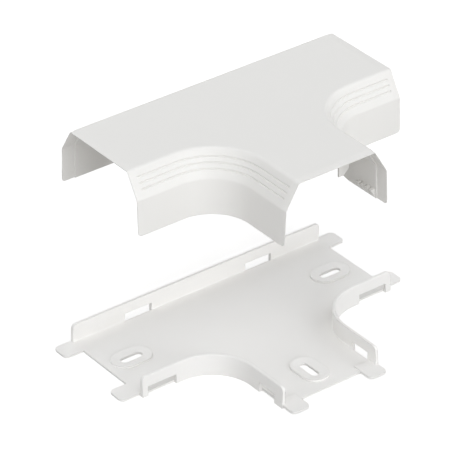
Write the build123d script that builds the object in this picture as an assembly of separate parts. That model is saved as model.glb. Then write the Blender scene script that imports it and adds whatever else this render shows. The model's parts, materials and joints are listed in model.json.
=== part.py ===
from build123d import *

import os
from math import atan2, cos, degrees, radians, sin, tan

# Trunking tee fitting: a base plate that is screwed to the wall and a cover that clips over it.
# Millimetres, +Z away from the wall, +X along the run, the stem along -Y.
# The origin is where the centrelines of run and stem cross, on the underside of the base.

# Cover, outside
ARM_REACH = 89.5            # crossing of the centrelines to each mouth of the run
STEM_REACH = 89.5           # crossing of the centrelines to the mouth of the stem
HALF_WIDTH = 35.5           # centreline to the outer face, at the bottom edge
COVER_HEIGHT = 36.0         # bottom edge to the flat top
KNEE_HEIGHT = 21.5          # where the upright wall turns into the sloping shoulder
KNEE_INSET = 0.9            # how far the upright wall leans in up to the knee
CREASE_INSET = 9.6          # how far the edge of the flat top lies in from the outer face
CORNER_CENTRE = 60.0        # centre of the inner corners' curves, from both centrelines
CREASE_ROUND = 2.5          # outer radius along the edge of the flat top
KNEE_ROUND = 2.5            # outer radius along the knee
COVER_LIFT = 105.0          # how far the cover stands above its seat

# Cover, wall and mouths
WALL = 1.5                  # thickness of the skin
RECESS_DEPTH = 0.7          # step inside each mouth, where the duct's own cover ends
RECESS_LENGTH = 8.0
LIP_TAPER = 0.4             # how much the outside tapers in towards each mouth
LIP_LENGTH = 4.0            # length of that taper
MOUTH_CORNER = 2.0          # radius of the lower corners of each mouth, from the side

# Fine grooves along the two front shoulders
GROOVE_COUNT = 3
GROOVE_FIRST = 0.31         # share of the shoulder's height at the lowest groove
GROOVE_STEP = 0.2           # share of the shoulder's height from groove to groove
GROOVE_WIDTH = 1.2
GROOVE_END = 4.6            # plain stretch between a groove's end and the mouth

# Snap teeth low inside the stem's walls
TOOTH_COUNT = 4
TOOTH_PITCH = 3.6
TOOTH_LENGTH = 1.9
TOOTH_REACH = 2.4           # how far a tooth stands proud of the wall
TOOTH_NOSE = 0.7            # height of a tooth's blunt nose
TOOTH_HEIGHT = 4.6          # height of a whole tooth, with its lead-in slope
CATCH_GAP = 0.3             # between a tooth's catch and the top of its window

# Guide webs that hang inside the stem and enter the base inside its walls
WEB_SETBACK = 27.0          # from the mouth of the stem
WEB_THICKNESS = 1.1
WEB_WIDTH = 6.9
WEB_WALL_GAP = 1.3          # between a web and the inner face of the base's wall
WEB_FOOT = 8.4              # height of a web's lower edge above the cover's bottom edge
WEB_BEVEL = 3.5             # lower outer corner cut away

# Base plate
FIT_GAP = 0.2               # between the cover's skin and the base's walls
END_SETBACK = 2.0           # how far the plate ends short of the cover's mouths
PLATE = 1.3
BASE_WALL = 2.0
BASE_WALL_HEIGHT = 13.0
WALL_FOOT_ROUND = 0.6       # inside corner between plate and walls
WALL_LEAD_IN = 0.4          # bevel along the outer upper edge of the walls
WALL_END_ROUND = 3.0        # upper corners of the base's walls at their ends

# Windows through the base's walls, open to the underside
REAR_WINDOW_PLACE = 42.75   # centre, from the stem's centreline
REAR_WINDOW_LENGTH = 18.6
ARM_WINDOW_LEG = 3.7        # wall left between an arm's window and the end of the plate
ARM_WINDOW_LENGTH = 19.2
STEM_WINDOW_LEG = 6.9       # wall left between a stem's window and the end of the plate
STEM_WINDOW_LENGTH = 13.2
WINDOW_TOP = 6.0            # height of the windows above the underside

# Screw slots
ARM_SLOT_SETBACK = 17.0     # centre of the run's slots, from the ends of the plate
STEM_SLOT_SETBACK = 18.5    # centre of the stem's slot, from the end of the plate
SLOT_LENGTH = 14.0
SLOT_WIDTH = 4.7
PAD_LENGTH = 25.0           # raised oval round each slot
PAD_WIDTH = 16.5
PAD_RIM = 1.3               # width of the oval's rim
PAD_RISE = 1.0              # height of the rim above the plate
DISH_FLOOR = 1.5            # height of the dish's floor, where the slot goes through

# Tabs that slide under the neighbouring duct
TAB_WIDTH = 12.0
TAB_CORNER = 3.0
ARM_TAB_REACH = 11.8        # beyond the end of the plate
STEM_TAB_REACH = 9.2
REAR_TAB_PLACE = 28.0       # centre, behind the run's centreline
FRONT_TAB_PLACE = 24.4      # centre, in front of the run's centreline
STEM_TAB_PLACE = 27.0       # centre, from the stem's centreline
STEM_TAB_RISE = 0.6         # the stem's tabs lie a little above the plate
STEM_TAB_LAP = 5.3          # length of the stem's tabs that laps over the plate

# Worked out from the sizes above
WALL_LEAN = atan2(KNEE_INSET, KNEE_HEIGHT)
SHOULDER_LEAN = atan2(CREASE_INSET - KNEE_INSET, COVER_HEIGHT - KNEE_HEIGHT)
BASE_INSET = WALL + FIT_GAP
BASE_ARM_REACH = ARM_REACH - END_SETBACK
BASE_STEM_REACH = STEM_REACH - END_SETBACK
STEM_WINDOW_PLACE = BASE_STEM_REACH - STEM_WINDOW_LEG - STEM_WINDOW_LENGTH / 2
HALF_RIGHT_ANGLE = 45
GROOVE_SIDE = GROOVE_WIDTH * sin(radians(HALF_RIGHT_ANGLE))
OVERRUN = COVER_HEIGHT      # spare length of a form before its ends are trimmed
WHOLE = 4 * (ARM_REACH + STEM_REACH)    # longer than the whole fitting
SAME_LEVEL = 0.01           # heights this close count as one


def mirrored(shape):
    """The shape and its mirror image across the stem's centreline."""
    return [shape, mirror(shape, about=Plane.YZ)]


def tee_plan(half_width):
    """Plan of run and stem, longer than the fitting, with both inner corners curved."""
    run = Rectangle(2 * (ARM_REACH + OVERRUN), 2 * half_width)
    stem = Pos(0, -(STEM_REACH + OVERRUN) / 2) * Rectangle(2 * half_width, STEM_REACH + OVERRUN)
    plan = run + stem
    inner_corners = plan.vertices().sort_by_distance((0, 0, 0))[:2]
    return fillet(inner_corners, CORNER_CENTRE - half_width)


def upright_form(inset, height):
    """The tee up to a height, its faces moved in from the cover's upright walls by inset."""
    plan = tee_plan(HALF_WIDTH - inset / cos(WALL_LEAN))
    return extrude(plan, amount=height, taper=degrees(WALL_LEAN))


def knee_at(inset):
    """Half width and height of the knee, where both faces are moved in by inset."""
    drop = sin((WALL_LEAN + SHOULDER_LEAN) / 2) / cos((SHOULDER_LEAN - WALL_LEAN) / 2)
    height = KNEE_HEIGHT - inset * drop
    half_width = HALF_WIDTH - inset / cos(WALL_LEAN) - height * tan(WALL_LEAN)
    return half_width, height


def is_level(edge, height):
    """Whether the whole edge lies at a height."""
    box = edge.bounding_box()
    return abs(box.min.Z - height) < SAME_LEVEL and abs(box.max.Z - height) < SAME_LEVEL


def level_edges(form, height):
    """The edges of a form that lie at a height."""
    return form.edges().filter_by(lambda edge: is_level(edge, height))


def cover_form(inset):
    """The tee under the cover's skin, all its faces moved in by inset."""
    half_width, knee = knee_at(inset)
    top = COVER_HEIGHT - inset
    shoulders = extrude(tee_plan(half_width), amount=top - knee, taper=degrees(SHOULDER_LEAN))
    form = upright_form(inset, knee) + Pos(0, 0, knee) * shoulders
    form &= length_block(ARM_REACH + OVERRUN / 2, STEM_REACH + OVERRUN / 2, COVER_HEIGHT, 0, 0)
    form = fillet(level_edges(form, top), CREASE_ROUND - inset)
    return fillet(level_edges(form, knee), KNEE_ROUND - inset)


def length_block(arm_reach, stem_reach, height, lower_round, upper_round):
    """Block that ends a tee at its three mouths, its corners rounded as seen from the side."""
    run = side_prism(-arm_reach, arm_reach, height, lower_round, upper_round)
    stem = side_prism(-stem_reach, WHOLE, height, lower_round, upper_round)
    return run & Rot(0, 0, 90) * stem


def side_prism(start, end, height, lower_round, upper_round):
    """Long prism along Y whose outline runs from start to end in X, with rounded corners."""
    outline = Pos((start + end) / 2, height / 2) * Rectangle(end - start, height)
    if lower_round > 0:
        outline = fillet(outline.vertices().sort_by(Axis.Y)[:2], lower_round)
    if upper_round > 0:
        outline = fillet(outline.vertices().sort_by(Axis.Y)[-2:], upper_round)
    return extrude(Plane.XZ * outline, amount=WHOLE / 2, both=True)


def mouth_bands(length):
    """Blocks over the last stretch of the fitting at each of its three mouths."""
    arm = Pos(ARM_REACH, 0, 0) * Box(2 * length, WHOLE, WHOLE)
    stem = Pos(0, -STEM_REACH, 0) * Box(WHOLE, 2 * length, WHOLE)
    return Part() + mirrored(arm) + stem


def tapered_lips(form):
    """The form with its outside tapered in towards the three mouths."""
    for axis, side in ((Axis.X, 0), (Axis.X, -1), (Axis.Y, 0)):
        mouth = form.faces().sort_by(axis)[side]
        rim = mouth.edges() - level_edges(form, 0)
        form = chamfer(rim, LIP_TAPER, LIP_LENGTH, reference=mouth)
    return form


def groove(share):
    """V-shaped cutter along the right-hand front shoulder, from the arm round to the stem."""
    height = KNEE_HEIGHT + share * (COVER_HEIGHT - KNEE_HEIGHT)
    half_width = HALF_WIDTH - KNEE_INSET - (height - KNEE_HEIGHT) * tan(SHOULDER_LEAN)
    arm_end = (ARM_REACH - GROOVE_END, -half_width, height)
    corner = (half_width, -half_width, height)
    stem_end = (half_width, -(STEM_REACH - GROOVE_END), height)
    path = FilletPolyline(arm_end, corner, stem_end, radius=CORNER_CENTRE - half_width)
    across = Plane(arm_end, x_dir=(0, 1, 0), z_dir=(-1, 0, 0)) * Rot(0, 0, degrees(SHOULDER_LEAN))
    profile = across * Rot(0, 0, HALF_RIGHT_ANGLE) * Rectangle(GROOVE_SIDE, GROOVE_SIDE)
    return sweep(profile, path=path)


def snap_tooth():
    """One tooth on the right-hand wall of the stem, with its catch on top."""
    catch = WINDOW_TOP - CATCH_GAP
    face = HALF_WIDTH - WALL / cos(WALL_LEAN) - catch * tan(WALL_LEAN)
    root = face + WALL / 2
    outline = make_face(Polyline(
        (root, catch), (face - TOOTH_REACH, catch), (face - TOOTH_REACH, catch - TOOTH_NOSE),
        (face, catch - TOOTH_HEIGHT), (root, catch - TOOTH_HEIGHT), close=True))
    return extrude(Plane.XZ * outline, amount=TOOTH_LENGTH / 2, both=True)


def guide_web():
    """Web that hangs from the ceiling by the right-hand wall of the stem."""
    base_face = HALF_WIDTH - (BASE_INSET + BASE_WALL) / cos(WALL_LEAN)
    outer = base_face - WEB_WALL_GAP - BASE_WALL_HEIGHT * tan(WALL_LEAN)
    height = COVER_HEIGHT - WALL / 2 - WEB_FOOT
    outline = Pos(outer - WEB_WIDTH / 2, WEB_FOOT + height / 2) * Rectangle(WEB_WIDTH, height)
    foot_corner = outline.vertices().sort_by(Axis.Y)[:2].sort_by(Axis.X)[-1]
    outline = chamfer(foot_corner, WEB_BEVEL)
    web = extrude(Plane.XZ * outline, amount=WEB_THICKNESS / 2, both=True)
    return Pos(0, WEB_SETBACK - STEM_REACH, 0) * web & cover_form(WALL / 2)


def cover():
    """The clip-on cover, in its seat on the base."""
    outside = cover_form(0) & length_block(ARM_REACH, STEM_REACH, COVER_HEIGHT, 0, 0)
    outside = tapered_lips(outside)
    outside &= length_block(ARM_REACH, STEM_REACH, COVER_HEIGHT, MOUTH_CORNER, 0)
    skin = outside - cover_form(WALL)
    skin -= cover_form(WALL - RECESS_DEPTH) & mouth_bands(RECESS_LENGTH)
    for number in range(GROOVE_COUNT):
        skin -= mirrored(groove(GROOVE_FIRST + number * GROOVE_STEP))
    first_tooth = -STEM_WINDOW_PLACE - (TOOTH_COUNT - 1) * TOOTH_PITCH / 2
    for number in range(TOOTH_COUNT):
        skin += mirrored(Pos(0, first_tooth + number * TOOTH_PITCH, 0) * snap_tooth())
    return skin + mirrored(guide_web())


def tray():
    """Plate and upright walls of the base, open at the three mouths."""
    walls = upright_form(BASE_INSET, BASE_WALL_HEIGHT)
    walls = chamfer(level_edges(walls, BASE_WALL_HEIGHT), WALL_LEAD_IN)
    inside = upright_form(BASE_INSET + BASE_WALL, BASE_WALL_HEIGHT) - Box(WHOLE, WHOLE, 2 * PLATE)
    ends = length_block(BASE_ARM_REACH, BASE_STEM_REACH, BASE_WALL_HEIGHT, 0, WALL_END_ROUND)
    form = (walls - inside) & ends
    wall_feet = level_edges(form, PLATE).filter_by(lambda edge: edge.is_interior)
    return fillet(wall_feet, WALL_FOOT_ROUND)


def windows():
    """Cutters for the windows along the base's walls."""
    outer = HALF_WIDTH - BASE_INSET / cos(WALL_LEAN)
    depth = 2 * (BASE_WALL / cos(WALL_LEAN) + WINDOW_TOP * tan(WALL_LEAN))
    rear = Pos(REAR_WINDOW_PLACE, outer, 0) * Box(REAR_WINDOW_LENGTH, depth, 2 * WINDOW_TOP)
    arm_place = BASE_ARM_REACH - ARM_WINDOW_LEG - ARM_WINDOW_LENGTH / 2
    arm = Pos(arm_place, -outer, 0) * Box(ARM_WINDOW_LENGTH, depth, 2 * WINDOW_TOP)
    stem = Pos(outer, -STEM_WINDOW_PLACE, 0) * Box(depth, STEM_WINDOW_LENGTH, 2 * WINDOW_TOP)
    return mirrored(rear) + mirrored(arm) + mirrored(stem)


def slot_places():
    """Where the screw slots lie, each place turned so that its slot runs along the duct."""
    arm_place = BASE_ARM_REACH - ARM_SLOT_SETBACK
    stem_place = BASE_STEM_REACH - STEM_SLOT_SETBACK
    return [Pos(arm_place, 0, 0), Pos(-arm_place, 0, 0), Pos(0, -stem_place, 0) * Rot(0, 0, 90)]


def slot_pad():
    """Raised oval round a screw slot."""
    return extrude(SlotOverall(PAD_LENGTH, PAD_WIDTH), amount=PLATE + PAD_RISE)


def slot_cutter():
    """Screw slot and the dish that leads down to it from the rim of its oval."""
    slot = extrude(SlotOverall(SLOT_LENGTH, SLOT_WIDTH), amount=PLATE + PAD_RISE)
    foot = Pos(0, 0, DISH_FLOOR) * SlotOverall(SLOT_LENGTH, SLOT_WIDTH)
    mouth = SlotOverall(PAD_LENGTH - 2 * PAD_RIM, PAD_WIDTH - 2 * PAD_RIM)
    return slot + loft([foot, Pos(0, 0, PLATE + PAD_RISE) * mouth], ruled=True)


def tab(length):
    """Tab that points along +X from its root at X = 0, its free corners rounded."""
    outline = Pos(length / 2, 0) * Rectangle(length, TAB_WIDTH)
    outline = fillet(outline.vertices().sort_by(Axis.X)[-2:], TAB_CORNER)
    return extrude(outline, amount=PLATE)


def tabs():
    """All the tabs of the base."""
    arm = tab(ARM_TAB_REACH + BASE_WALL)
    rear = Pos(BASE_ARM_REACH - BASE_WALL, REAR_TAB_PLACE, 0) * arm
    front = Pos(BASE_ARM_REACH - BASE_WALL, -FRONT_TAB_PLACE, 0) * arm
    lap = BASE_STEM_REACH - STEM_TAB_LAP
    stem = Pos(STEM_TAB_PLACE, -lap, STEM_TAB_RISE) * Rot(0, 0, -90) * tab(STEM_TAB_LAP + STEM_TAB_REACH)
    return mirrored(rear) + mirrored(front) + mirrored(stem)


def base_plate():
    """The base that is screwed to the wall."""
    base = tray() - windows()
    for place in slot_places():
        base = base + place * slot_pad() - place * slot_cutter()
    return base + tabs()


os.makedirs("parts", exist_ok=True)
export_step(base_plate(), "parts/base_plate.step")
export_step(Pos(0, 0, COVER_LIFT) * cover(), "parts/cover.step")
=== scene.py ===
"""A trunking tee fitting taken apart: its base on the floor and its cover held straight above it."""

import json
import logging
import math
from dataclasses import dataclass
from enum import Enum

import bpy
from mathutils import Euler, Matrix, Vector

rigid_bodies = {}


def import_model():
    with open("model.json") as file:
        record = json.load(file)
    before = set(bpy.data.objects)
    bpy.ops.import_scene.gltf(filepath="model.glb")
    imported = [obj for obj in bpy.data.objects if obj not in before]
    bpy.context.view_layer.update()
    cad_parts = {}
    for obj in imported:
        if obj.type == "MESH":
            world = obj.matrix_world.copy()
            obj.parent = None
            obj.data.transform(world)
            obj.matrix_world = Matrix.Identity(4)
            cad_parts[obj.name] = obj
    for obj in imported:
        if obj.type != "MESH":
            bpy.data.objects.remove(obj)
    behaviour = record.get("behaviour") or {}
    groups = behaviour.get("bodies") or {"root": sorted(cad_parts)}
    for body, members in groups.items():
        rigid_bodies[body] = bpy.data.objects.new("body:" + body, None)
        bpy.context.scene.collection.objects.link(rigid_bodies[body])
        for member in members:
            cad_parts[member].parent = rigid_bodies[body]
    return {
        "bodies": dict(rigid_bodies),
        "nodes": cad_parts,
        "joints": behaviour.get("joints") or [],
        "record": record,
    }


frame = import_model()

LOG = logging.getLogger("tee_fitting")
MILLIMETRE = 0.001

# A colour is its red, green and blue, as the linear values that a shader reads.
Colour = tuple[float, float, float]
WHITE: Colour = (1.0, 1.0, 1.0)
DAYLIGHT: Colour = (0.965, 0.98, 1.0)


def opaque(colour: Colour) -> tuple[float, float, float, float]:
    """Add the full alpha that a colour socket asks for."""
    return (*colour, 1.0)


class Moulding(Enum):
    """The two moulded pieces of the fitting, by the names of their solids."""

    BASE_PLATE = "base_plate"
    COVER = "cover"


class GroupSocket(Enum):
    """The kinds of socket that the shader node group uses."""

    VALUE = "NodeSocketFloat"
    COLOUR = "NodeSocketColor"


@dataclass
class MouldedGrainGroup:
    """Shader node group for the surface that a mould leaves on hard plastic.

    Its outputs are the tint of the plastic, with painted light mixed in along the sharp edges and
    creases, its roughness and the height of its grain, all of which change over the surface.

    Attributes:
        name: Name of the group.
        grain_detail: Octaves of the fine grain.
        flow_detail: Octaves of the slow patches that the flow of the plastic leaves.
    """

    name: str = "moulded grain"
    grain_detail: float = 3.0
    flow_detail: float = 2.0

    def build(self) -> bpy.types.NodeTree:
        """Build the group.

        Returns:
            The node tree, ready to be placed in a material.
        """
        tree = bpy.data.node_groups.new(self.name, "ShaderNodeTree")
        self._add_sockets(tree)
        nodes, links = tree.nodes, tree.links
        given = nodes.new("NodeGroupInput").outputs
        wanted = nodes.new("NodeGroupOutput").inputs
        place = nodes.new("ShaderNodeTexCoord").outputs["Object"]

        grain = self._noise(tree, place, given["Grain Scale"], self.grain_detail)
        flow = self._noise(tree, place, given["Flow Scale"], self.flow_detail)

        face_tint = self._mix(tree, flow, given["Light Tint"], given["Deep Tint"])
        # Painted light: the edge mask mixes in the painted edge colour, a painted highlight on the
        # cover's edges and painted shade on the base's edges and creases.
        tint = self._mix(tree, given["Edge"], face_tint, given["Edge Tint"])
        links.new(tint, wanted["Tint"])

        face_rough = self._add(tree, grain, given["Roughness Spread"], given["Roughness"])
        rough = self._add(tree, given["Edge"], given["Edge Roughness"], face_rough)
        links.new(rough, wanted["Roughness"])

        height = self._add(tree, flow, given["Flow Height"], grain)
        links.new(height, wanted["Height"])
        return tree

    @staticmethod
    def _add_sockets(tree: bpy.types.NodeTree) -> None:
        """Give the group its named inputs and outputs.

        Args:
            tree: The group's node tree.
        """
        sockets = (
            ("Light Tint", "INPUT", GroupSocket.COLOUR),
            ("Deep Tint", "INPUT", GroupSocket.COLOUR),
            ("Grain Scale", "INPUT", GroupSocket.VALUE),
            ("Flow Scale", "INPUT", GroupSocket.VALUE),
            ("Flow Height", "INPUT", GroupSocket.VALUE),
            ("Roughness", "INPUT", GroupSocket.VALUE),
            ("Roughness Spread", "INPUT", GroupSocket.VALUE),
            ("Edge", "INPUT", GroupSocket.VALUE),
            ("Edge Tint", "INPUT", GroupSocket.COLOUR),
            ("Edge Roughness", "INPUT", GroupSocket.VALUE),
            ("Tint", "OUTPUT", GroupSocket.COLOUR),
            ("Roughness", "OUTPUT", GroupSocket.VALUE),
            ("Height", "OUTPUT", GroupSocket.VALUE),
        )
        for name, side, kind in sockets:
            tree.interface.new_socket(name=name, in_out=side, socket_type=kind.value)

    @staticmethod
    def _noise(
        tree: bpy.types.NodeTree,
        place: bpy.types.NodeSocket,
        scale: bpy.types.NodeSocket,
        detail: float,
    ) -> bpy.types.NodeSocket:
        """Add a noise pattern to the group.

        Args:
            tree: The group's node tree.
            place: Where on the piece the pattern is read.
            scale: How fine the pattern is.
            detail: How many octaves it has.

        Returns:
            The pattern's value.
        """
        noise = tree.nodes.new("ShaderNodeTexNoise")
        noise.inputs["Detail"].default_value = detail
        tree.links.new(place, noise.inputs["Vector"])
        tree.links.new(scale, noise.inputs["Scale"])
        return noise.outputs["Fac"]

    @staticmethod
    def _mix(
        tree: bpy.types.NodeTree,
        share: bpy.types.NodeSocket,
        first: bpy.types.NodeSocket,
        second: bpy.types.NodeSocket,
    ) -> bpy.types.NodeSocket:
        """Mix two colours.

        Args:
            tree: The group's node tree.
            share: How much of the second colour there is.
            first: The first colour.
            second: The second colour.

        Returns:
            The mixed colour.
        """
        mix = tree.nodes.new("ShaderNodeMix")
        mix.data_type = "RGBA"
        tree.links.new(share, mix.inputs["Factor"])
        tree.links.new(first, mix.inputs["A"])
        tree.links.new(second, mix.inputs["B"])
        return mix.outputs["Result"]

    @staticmethod
    def _add(
        tree: bpy.types.NodeTree,
        value: bpy.types.NodeSocket,
        weight: bpy.types.NodeSocket,
        start: bpy.types.NodeSocket,
    ) -> bpy.types.NodeSocket:
        """Add a weighted value to another one.

        Args:
            tree: The group's node tree.
            value: The value that is added.
            weight: What it is multiplied by.
            start: The value that it is added to.

        Returns:
            The sum.
        """
        total = tree.nodes.new("ShaderNodeMath")
        total.operation = "MULTIPLY_ADD"
        for term, source in zip(total.inputs, (value, weight, start)):
            tree.links.new(source, term)
        return total.outputs[0]


@dataclass(frozen=True)
class MouldedPlastic:
    """Finish of one moulding: hard off-white plastic with the faint grain of its mould.

    Lengths are in metres.

    Attributes:
        name: Name of the material.
        light_tint: Colour of the palest patches.
        deep_tint: Colour of the deepest patches.
        roughness: Roughness where the grain is at its lowest.
        roughness_spread: What the grain adds to the roughness at its highest.
        grain_size: Size of the grain.
        flow_size: Size of the slow patches of tint and height.
        flow_height: Height of those patches, as a multiple of the grain's.
        grain_depth: Depth of the grain.
        painted_edge_light: Colour painted along the sharp edges and creases: paler than the faces as
            a painted
        highlight on the cover, darker than the faces as painted shade on the base.
        edge_radius: Radius that the sharp edges seem to have.
        edge_samples: Rays that look for an edge from each point.
        edge_roughness: What an edge adds to the roughness.
        edge_start: Cosine of the turn in the surface at which an edge begins to show.
        edge_full: Cosine of the turn at which it shows fully.
        specular: Strength of the shine.
    """

    name: str
    light_tint: Colour
    deep_tint: Colour
    roughness: float
    roughness_spread: float
    grain_size: float
    flow_size: float
    flow_height: float
    grain_depth: float
    painted_edge_light: Colour
    edge_radius: float
    edge_samples: int = 6
    edge_roughness: float = -0.12
    edge_start: float = 0.93
    edge_full: float = 0.74
    specular: float = 0.4

    def build(self, grain: bpy.types.NodeTree) -> bpy.types.Material:
        """Make the material.

        Args:
            grain: The shared node group of moulded grain.

        Returns:
            The finished material.
        """
        material = bpy.data.materials.new(self.name)
        material.use_nodes = True
        nodes, links = material.node_tree.nodes, material.node_tree.links
        shader = nodes["Principled BSDF"]
        shader.inputs["Specular IOR Level"].default_value = self.specular

        surface = nodes.new("ShaderNodeGroup")
        surface.node_tree = grain
        values = {
            "Light Tint": opaque(self.light_tint),
            "Deep Tint": opaque(self.deep_tint),
            "Grain Scale": 1.0 / self.grain_size,
            "Flow Scale": 1.0 / self.flow_size,
            "Flow Height": self.flow_height,
            "Roughness": self.roughness,
            "Roughness Spread": self.roughness_spread,
            "Edge Tint": opaque(self.painted_edge_light),
            "Edge Roughness": self.edge_roughness,
        }
        for socket, value in values.items():
            surface.inputs[socket].default_value = value
        links.new(surface.outputs["Tint"], shader.inputs["Base Color"])
        links.new(surface.outputs["Roughness"], shader.inputs["Roughness"])

        bump = nodes.new("ShaderNodeBump")
        bump.inputs["Distance"].default_value = self.grain_depth
        links.new(surface.outputs["Height"], bump.inputs["Height"])
        links.new(bump.outputs["Normal"], shader.inputs["Normal"])
        rounded, at_edge = self._soften(material.node_tree)
        links.new(rounded, bump.inputs["Normal"])
        links.new(at_edge, surface.inputs["Edge"])
        return material

    def _soften(
        self, tree: bpy.types.NodeTree
    ) -> tuple[bpy.types.NodeSocket, bpy.types.NodeSocket]:
        """Round the sharp edges to the eye and find where they are.

        Args:
            tree: The material's node tree.

        Returns:
            The rounded normal, and a mask that is one on the sharp edges and creases and nought on
            the faces, which places the painted edge light and the change of roughness there.
        """
        nodes, links = tree.nodes, tree.links
        edge = nodes.new("ShaderNodeBevel")
        edge.samples = self.edge_samples
        edge.inputs["Radius"].default_value = self.edge_radius
        face = nodes.new("ShaderNodeNewGeometry")
        turn = nodes.new("ShaderNodeVectorMath")
        turn.operation = "DOT_PRODUCT"
        links.new(edge.outputs["Normal"], turn.inputs[0])
        links.new(face.outputs["True Normal"], turn.inputs[1])
        mask = nodes.new("ShaderNodeMapRange")
        mask.inputs["From Min"].default_value = self.edge_start
        mask.inputs["From Max"].default_value = self.edge_full
        links.new(turn.outputs["Value"], mask.inputs["Value"])
        return edge.outputs["Normal"], mask.outputs["Result"]


COVER_FINISH = MouldedPlastic(
    name="cover plastic",
    light_tint=(0.82, 0.805, 0.775),
    deep_tint=(0.805, 0.79, 0.76),
    roughness=0.42,
    roughness_spread=0.1,
    grain_size=0.35 * MILLIMETRE,
    flow_size=40 * MILLIMETRE,
    flow_height=2.0,
    grain_depth=0.01 * MILLIMETRE,
    # Painted highlight: the cover's sharp edges are painted paler than its faces.
    painted_edge_light=(0.95, 0.94, 0.92),
    edge_radius=0.4 * MILLIMETRE,
)
BASE_FINISH = MouldedPlastic(
    name="base plastic",
    light_tint=(0.91, 0.895, 0.87),
    deep_tint=(0.89, 0.875, 0.85),
    roughness=0.48,
    roughness_spread=0.08,
    grain_size=0.5 * MILLIMETRE,
    flow_size=25 * MILLIMETRE,
    flow_height=3.0,
    grain_depth=0.01 * MILLIMETRE,
    # Painted shade: the base's sharp edges and creases are painted darker than its faces.
    painted_edge_light=(0.62, 0.605, 0.58),
    edge_radius=0.4 * MILLIMETRE,
)


@dataclass
class MouldedPiece:
    """One moulding of the fitting: a solid of the frame with its finish."""

    moulding: Moulding
    finish: MouldedPlastic

    def dress(self, frame: dict, grain: bpy.types.NodeTree) -> None:
        """Give the solid its finish.

        Args:
            grain: The shared node group of moulded grain.
        """
        piece = frame["nodes"][self.moulding.value]
        piece.data.materials.clear()
        piece.data.materials.append(self.finish.build(grain))
        LOG.info("%s: %s", self.moulding.value, self.finish.name)


def towards(azimuth: float, elevation: float) -> Vector:
    """Find the direction from the fitting to a lamp or to the camera.

    Args:
        azimuth: Turn to the right, seen from the front, in degrees.
        elevation: Height above the floor, in degrees.

    Returns:
        The direction, of length one.
    """
    turn, rise = math.radians(azimuth), math.radians(elevation)
    return Vector((
        math.sin(turn) * math.cos(rise),
        -math.cos(turn) * math.cos(rise),
        math.sin(rise),
    ))


def facing_back(direction: Vector) -> Euler:
    """Find the turn of a lamp or camera that looks back along a direction."""
    return direction.to_track_quat("Z", "Y").to_euler()


@dataclass(frozen=True)
class SoftLamp:
    """One large soft lamp a long way off, with its angles in degrees."""

    name: str
    azimuth: float
    elevation: float
    strength: float
    colour: Colour = DAYLIGHT
    spread: float = 40.0

    def build(self) -> None:
        """Hang the lamp."""
        bpy.ops.object.light_add(type="SUN")
        lamp = bpy.context.object
        lamp.name = self.name
        lamp.data.energy = self.strength
        lamp.data.color = self.colour
        lamp.data.angle = math.radians(self.spread)
        lamp.rotation_euler = facing_back(towards(self.azimuth, self.elevation))


LAMPS = (
    SoftLamp("front lamp", azimuth=0, elevation=10, strength=1.6),
    SoftLamp("high left lamp", azimuth=-38, elevation=60, strength=0.87),
    SoftLamp("low left lamp", azimuth=-80, elevation=15, strength=0.62),
    SoftLamp("right lamp", azimuth=70, elevation=38, strength=0.66),
    SoftLamp("back lamp", azimuth=180, elevation=38, strength=0.78, spread=60),
)


def rays_that_show(tree: bpy.types.NodeTree) -> bpy.types.NodeSocket:
    """Find the rays that show the white surroundings: those of the camera, of gloss and of glass.

    Args:
        tree: The node tree of the floor's material or of the sky.

    Returns:
        One for such a ray, and nought for a ray that only lights.
    """
    ray = tree.nodes.new("ShaderNodeLightPath")
    shown = ray.outputs["Is Camera Ray"]
    for kind in ("Is Glossy Ray", "Is Transmission Ray"):
        either = tree.nodes.new("ShaderNodeMath")
        either.operation = "MAXIMUM"
        tree.links.new(shown, either.inputs[0])
        tree.links.new(ray.outputs[kind], either.inputs[1])
        shown = either.outputs[0]
    return shown


def split_by_ray(
    tree: bpy.types.NodeTree,
    lighting: bpy.types.NodeSocket,
    showing: bpy.types.NodeSocket,
    output: bpy.types.NodeSocket,
) -> None:
    """Use one shader for the rays that only light and another for those that show.

    Args:
        tree: The node tree of the floor's material or of the sky.
        lighting: The shader that lights the fitting.
        showing: The shader that is seen.
        output: The input socket that takes the outcome.
    """
    split = tree.nodes.new("ShaderNodeMixShader")
    tree.links.new(rays_that_show(tree), split.inputs["Fac"])
    tree.links.new(lighting, split.inputs[1])
    tree.links.new(showing, split.inputs[2])
    tree.links.new(split.outputs["Shader"], output)


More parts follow.
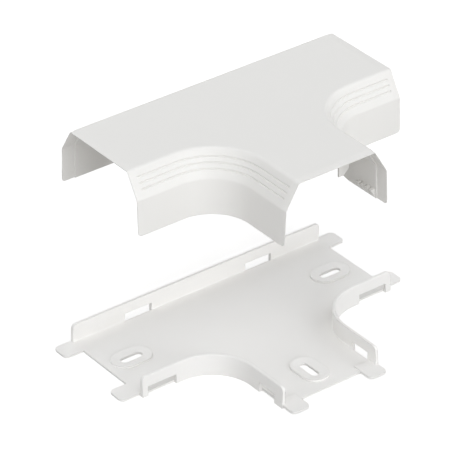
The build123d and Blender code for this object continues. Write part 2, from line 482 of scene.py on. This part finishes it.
@dataclass
class Studio:
    """Pale floor, an even sky and a ring of soft lamps.

    Attributes:
        floor_span: Length of the floor's sides, in metres.
        floor_colour: Colour of the floor, as the fitting is lit by it.
        floor_roughness: Roughness of the floor.
        floor_specular: Strength of the floor's shine.
        floor_glow: Strength of the white that the floor adds where it is seen.
        sky_colour: Colour of the light from the sky.
        sky_strength: Strength of that light.
        lamps: The soft lamps.
    """

    floor_span: float = 6.0
    floor_colour: Colour = (0.515, 0.505, 0.495)
    floor_roughness: float = 0.9
    floor_specular: float = 0.0
    floor_glow: float = 0.66
    sky_colour: Colour = DAYLIGHT
    sky_strength: float = 0.26
    lamps: tuple[SoftLamp, ...] = LAMPS

    def build(self) -> None:
        """Build the floor, the sky and the lamps."""
        self._floor()
        self._sky()
        for lamp in self.lamps:
            lamp.build()

    def _floor(self) -> None:
        """Add the floor, which looks white to the camera and keeps the fitting's shadow."""
        bpy.ops.mesh.primitive_plane_add(size=self.floor_span)
        floor = bpy.context.object
        floor.name = "floor"
        floor.data.materials.append(self._floor_paint())

    def _floor_paint(self) -> bpy.types.Material:
        """Make the floor's material.

        Returns:
            A matt paint that glows only for the rays that show it.
        """
        material = bpy.data.materials.new("floor paint")
        material.use_nodes = True
        nodes, links = material.node_tree.nodes, material.node_tree.links
        paint = nodes["Principled BSDF"]
        paint.inputs["Base Color"].default_value = opaque(self.floor_colour)
        paint.inputs["Roughness"].default_value = self.floor_roughness
        paint.inputs["Specular IOR Level"].default_value = self.floor_specular
        glow = nodes.new("ShaderNodeEmission")
        glow.inputs["Strength"].default_value = self.floor_glow
        both = nodes.new("ShaderNodeAddShader")
        links.new(paint.outputs["BSDF"], both.inputs[0])
        links.new(glow.outputs["Emission"], both.inputs[1])
        split_by_ray(
            material.node_tree,
            lighting=paint.outputs["BSDF"],
            showing=both.outputs["Shader"],
            output=nodes["Material Output"].inputs["Surface"],
        )
        return material

    def _sky(self) -> None:
        """Light the scene evenly from all sides, with a sky that looks white."""
        world = bpy.data.worlds.new("sky")
        world.use_nodes = True
        nodes = world.node_tree.nodes
        light = nodes["Background"]
        light.inputs["Color"].default_value = opaque(self.sky_colour)
        light.inputs["Strength"].default_value = self.sky_strength
        # A new background has a strength of 1, which is white.
        white = nodes.new("ShaderNodeBackground")
        white.inputs["Color"].default_value = opaque(WHITE)
        split_by_ray(
            world.node_tree,
            lighting=light.outputs["Background"],
            showing=white.outputs["Background"],
            output=nodes["World Output"].inputs["Surface"],
        )
        bpy.context.scene.world = world


@dataclass
class Viewpoint:
    """Camera at the photograph's viewing angle.

    Attributes:
        azimuth: Turn of the camera round the fitting, in degrees.
        elevation: Height of the camera above the floor, in degrees.
        distance: Distance from the point that it looks at, in metres.
        lens: Focal length, in millimetres.
        sensor: Width of the sensor, in millimetres.
        target: The point that it looks at, in metres.
    """

    azimuth: float = -37.49
    elevation: float = 32.14
    distance: float = 1.854
    lens: float = 267.4
    sensor: float = 36.0
    target: tuple[float, float, float] = (-0.0010, 0.0058, 0.0582)

    def build(self) -> None:
        """Make the camera and give it to the scene."""
        back = towards(self.azimuth, self.elevation)
        bpy.ops.object.camera_add(location=Vector(self.target) + back * self.distance)
        camera = bpy.context.object
        camera.rotation_euler = facing_back(back)
        camera.data.sensor_width = self.sensor
        camera.data.lens = self.lens
        bpy.context.scene.camera = camera


def main(frame: dict) -> None:
    """Dress the fitting and set up its studio.
    """
    logging.basicConfig(level=logging.INFO, format="%(name)s: %(message)s")
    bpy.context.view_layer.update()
    bpy.ops.object.select_all(action="DESELECT")
    bpy.context.scene.view_settings.view_transform = "Standard"
    grain = MouldedGrainGroup().build()
    MouldedPiece(Moulding.BASE_PLATE, BASE_FINISH).dress(frame, grain)
    MouldedPiece(Moulding.COVER, COVER_FINISH).dress(frame, grain)
    Studio().build()
    Viewpoint().build()


if __name__ == "__main__":
    main(frame)
